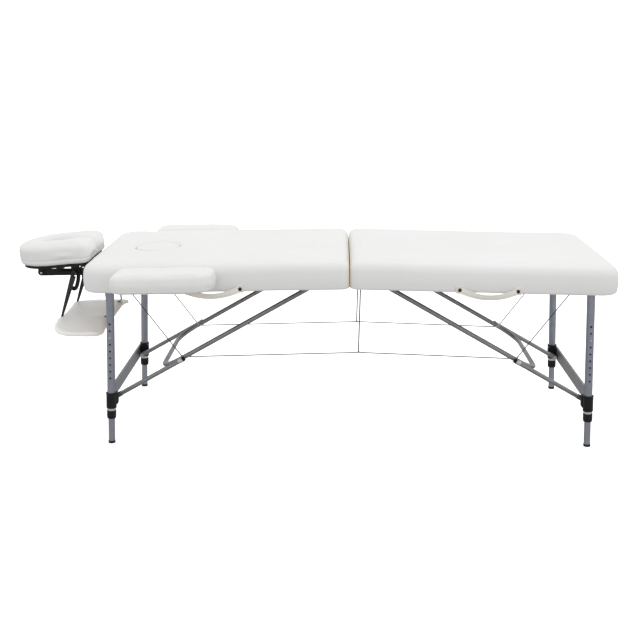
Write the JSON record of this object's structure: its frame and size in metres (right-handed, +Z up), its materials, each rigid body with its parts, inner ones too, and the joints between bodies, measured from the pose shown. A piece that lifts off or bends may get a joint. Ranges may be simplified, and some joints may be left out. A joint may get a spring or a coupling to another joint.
{
  "type": "portable massage table",
  "caption": "Folding massage table: two padded halves on telescopic aluminium legs with a face rest, side armrests and a hanging arm shelf.",
  "frame": {"origin": "on the floor, under the middle of the overall box", "axes": "+X towards the foot end along the table, +Z up, -Y the side with the carry handles"},
  "size_m": [2.1674, 1, 0.701],
  "materials": {
    "white_leatherette": "satin",
    "shelf_leatherette": "satin",
    "handle_leatherette": "satin",
    "foam": "matte",
    "beech_ply": "satin",
    "anodised_aluminium": "satin",
    "zinc_steel": "satin",
    "steel_cable": "satin",
    "black_plastic": "satin",
    "black_metal": "satin",
    "black_webbing": "matte",
    "black_rubber": "matte"
  },
  "bodies": {
    "head_top": {"head_cover": "white_leatherette", "head_foam": "foam", "head_deck": "beech_ply", "head_rails": "beech_ply", "head_hinge_leaves": "zinc_steel", "head_brackets": "zinc_steel", "head_fasteners": "zinc_steel", "head_carry_handle": "handle_leatherette", "head_cables": "steel_cable"},
    "foot_top": {"foot_cover": "white_leatherette", "foot_foam": "foam", "foot_deck": "beech_ply", "foot_rails": "beech_ply", "foot_hinge_leaves": "zinc_steel", "foot_brackets": "zinc_steel", "foot_fasteners": "zinc_steel", "foot_carry_handle": "handle_leatherette", "foot_cables": "steel_cable", "drop_wires": "steel_cable"},
    "head_legs": {"head_leg_tubes": "anodised_aluminium", "head_leg_collars": "black_plastic", "head_leg_fittings": "zinc_steel", "head_leg_crossbar": "anodised_aluminium"},
    "head_bow_frame": {"head_bow": "anodised_aluminium"},
    "head_strut_pair": {"head_struts": "anodised_aluminium"},
    "head_near_lower_leg": {"head_near_inner_tube": "anodised_aluminium", "head_near_foot": "black_rubber"},
    "head_near_nut": {"head_near_lock_nut": "black_plastic"},
    "head_near_button": {"head_near_spring_button": "zinc_steel"},
    "head_far_lower_leg": {"head_far_inner_tube": "anodised_aluminium", "head_far_foot": "black_rubber"},
    "head_far_nut": {"head_far_lock_nut": "black_plastic"},
    "head_far_button": {"head_far_spring_button": "zinc_steel"},
    "foot_legs": {"foot_leg_tubes": "anodised_aluminium", "foot_leg_collars": "black_plastic", "foot_leg_fittings": "zinc_steel", "foot_leg_crossbar": "anodised_aluminium"},
    "foot_bow_frame": {"foot_bow": "anodised_aluminium"},
    "foot_strut_pair": {"foot_struts": "anodised_aluminium"},
    "foot_near_lower_leg": {"foot_near_inner_tube": "anodised_aluminium", "foot_near_foot": "black_rubber"},
    "foot_near_nut": {"foot_near_lock_nut": "black_plastic"},
    "foot_near_button": {"foot_near_spring_button": "zinc_steel"},
    "foot_far_lower_leg": {"foot_far_inner_tube": "anodised_aluminium", "foot_far_foot": "black_rubber"},
    "foot_far_nut": {"foot_far_lock_nut": "black_plastic"},
    "foot_far_button": {"foot_far_spring_button": "zinc_steel"},
    "headrest_frame": {"headrest_bars": "black_metal", "arm_sling_straps": "black_webbing"},
    "headrest_platform": {"headrest_platform": "black_metal", "headrest_cushion": "white_leatherette"},
    "headrest_lever": {"headrest_lever": "black_plastic"},
    "arm_shelf": {"arm_sling": "shelf_leatherette"},
    "armrest_near": {"armrest_near_pad": "white_leatherette", "armrest_near_base": "beech_ply"},
    "armrest_far": {"armrest_far_pad": "white_leatherette", "armrest_far_base": "beech_ply"},
    "face_plug": {"face_plug": "white_leatherette"}
  },
  "joints": [
    {"name": "fold", "type": "hinge", "parent": "head_top", "child": "foot_top", "pos_m": [0.15249, 0, 0.574], "axis": [0, 1, 0], "range_deg": [0, 120], "deforming": ["head_cables", "foot_cables", "drop_wires"]},
    {"name": "head_leg_fold", "type": "hinge", "parent": "head_top", "child": "head_legs", "pos_m": [-0.67875, 0, 0.58303], "axis": [0, -1, 0], "range_deg": [0, 93.77]},
    {"name": "head_bow_fold", "type": "hinge", "parent": "head_top", "child": "head_bow_frame", "pos_m": [0.0801, 0, 0.59853], "axis": [0, 1, 0], "range_deg": [0, 28.72]},
    {"name": "head_strut_swing", "type": "hinge", "parent": "head_legs", "child": "head_strut_pair", "pos_m": [-0.6975, 0, 0.15344], "axis": [0, -1, 0], "range_deg": [0, 57.81]},
    {"name": "head_near_leg_extension", "type": "slide", "parent": "head_legs", "child": "head_near_lower_leg", "axis": [-0.0436, 0, -0.999], "range_m": [-0.05, 0.15], "deforming": ["head_near_spring_button"]},
    {"name": "head_near_nut_turn", "type": "hinge", "parent": "head_legs", "child": "head_near_nut", "pos_m": [-0.6994, -0.312, 0.10998], "axis": [-0.0436, 0, -0.999], "range_deg": [0, 180]},
    {"name": "head_near_button_press", "type": "slide", "parent": "head_near_lower_leg", "child": "head_near_button", "axis": [0, 1, 0], "range_m": [0, 0.004], "stiffness_N_per_m": 300},
    {"name": "head_far_leg_extension", "type": "slide", "parent": "head_legs", "child": "head_far_lower_leg", "axis": [-0.0436, 0, -0.999], "range_m": [-0.05, 0.15], "deforming": ["head_far_spring_button"]},
    {"name": "head_far_nut_turn", "type": "hinge", "parent": "head_legs", "child": "head_far_nut", "pos_m": [-0.6994, 0.312, 0.10998], "axis": [-0.0436, 0, -0.999], "range_deg": [0, 180]},
    {"name": "head_far_button_press", "type": "slide", "parent": "head_far_lower_leg", "child": "head_far_button", "axis": [0, -1, 0], "range_m": [0, 0.004], "stiffness_N_per_m": 300},
    {"name": "foot_leg_fold", "type": "hinge", "parent": "foot_top", "child": "foot_legs", "pos_m": [0.98372, 0, 0.58303], "axis": [0, 1, 0], "range_deg": [0, 93.77]},
    {"name": "foot_bow_fold", "type": "hinge", "parent": "foot_top", "child": "foot_bow_frame", "pos_m": [0.22488, 0, 0.59853], "axis": [0, -1, 0], "range_deg": [0, 28.72]},
    {"name": "foot_strut_swing", "type": "hinge", "parent": "foot_legs", "child": "foot_strut_pair", "pos_m": [1.00248, 0, 0.15344], "axis": [0, 1, 0], "range_deg": [0, 57.81]},
    {"name": "foot_near_leg_extension", "type": "slide", "parent": "foot_legs", "child": "foot_near_lower_leg", "axis": [0.0436, 0, -0.999], "range_m": [-0.05, 0.15], "deforming": ["foot_near_spring_button"]},
    {"name": "foot_near_nut_turn", "type": "hinge", "parent": "foot_legs", "child": "foot_near_nut", "pos_m": [1.00438, -0.312, 0.10998], "axis": [0.0436, 0, -0.999], "range_deg": [0, 180]},
    {"name": "foot_near_button_press", "type": "slide", "parent": "foot_near_lower_leg", "child": "foot_near_button", "axis": [0, 1, 0], "range_m": [0, 0.004], "stiffness_N_per_m": 300},
    {"name": "foot_far_leg_extension", "type": "slide", "parent": "foot_legs", "child": "foot_far_lower_leg", "axis": [0.0436, 0, -0.999], "range_m": [-0.05, 0.15], "deforming": ["foot_far_spring_button"]},
    {"name": "foot_far_nut_turn", "type": "hinge", "parent": "foot_legs", "child": "foot_far_nut", "pos_m": [1.00438, 0.312, 0.10998], "axis": [0.0436, 0, -0.999], "range_deg": [0, 180]},
    {"name": "foot_far_button_press", "type": "slide", "parent": "foot_far_lower_leg", "child": "foot_far_button", "axis": [0, -1, 0], "range_m": [0, 0.004], "stiffness_N_per_m": 300},
    {"name": "headrest_pull", "type": "slide", "parent": "head_top", "child": "headrest_frame", "axis": [-0.9998, 0, -0.0204], "range_m": [0, 0.1]},
    {"name": "headrest_tilt", "type": "hinge", "parent": "headrest_frame", "child": "headrest_platform", "pos_m": [-0.9837, 0, 0.57755], "axis": [0, -1, 0], "range_deg": [0, 22]},
    {"name": "headrest_lever_turn", "type": "hinge", "parent": "headrest_frame", "child": "headrest_lever", "pos_m": [-0.85772, 0, 0.58012], "axis": [0, -1, 0], "range_deg": [0, 90]},
    {"name": "arm_shelf_sway", "type": "slide", "parent": "headrest_frame", "child": "arm_shelf", "axis": [-0.9998, 0, -0.0204], "range_m": [-0.02, 0.02], "stiffness_N_per_m": 40, "deforming": ["arm_sling_straps"]},
    {"name": "armrest_near_pull", "type": "slide", "parent": "head_top", "child": "armrest_near", "axis": [0, -1, 0], "range_m": [0, 0.06]},
    {"name": "armrest_far_pull", "type": "slide", "parent": "head_top", "child": "armrest_far", "axis": [0, 1, 0], "range_m": [0, 0.06]},
    {"name": "face_plug_lift", "type": "slide", "parent": "head_top", "child": "face_plug", "axis": [-0.0204, 0, 0.9998], "range_m": [0, 0.08]}
  ],
  "couplings": [
    {"joint": "head_leg_fold", "follows": "fold", "ratio": 0.78058},
    {"joint": "head_bow_fold", "follows": "fold", "ratio": 0.23847},
    {"joint": "head_strut_swing", "follows": "fold", "ratio": 0.48095},
    {"joint": "foot_leg_fold", "follows": "fold", "ratio": 0.78058},
    {"joint": "foot_bow_fold", "follows": "fold", "ratio": 0.23847},
    {"joint": "foot_strut_swing", "follows": "fold", "ratio": 0.48095}
  ]
}
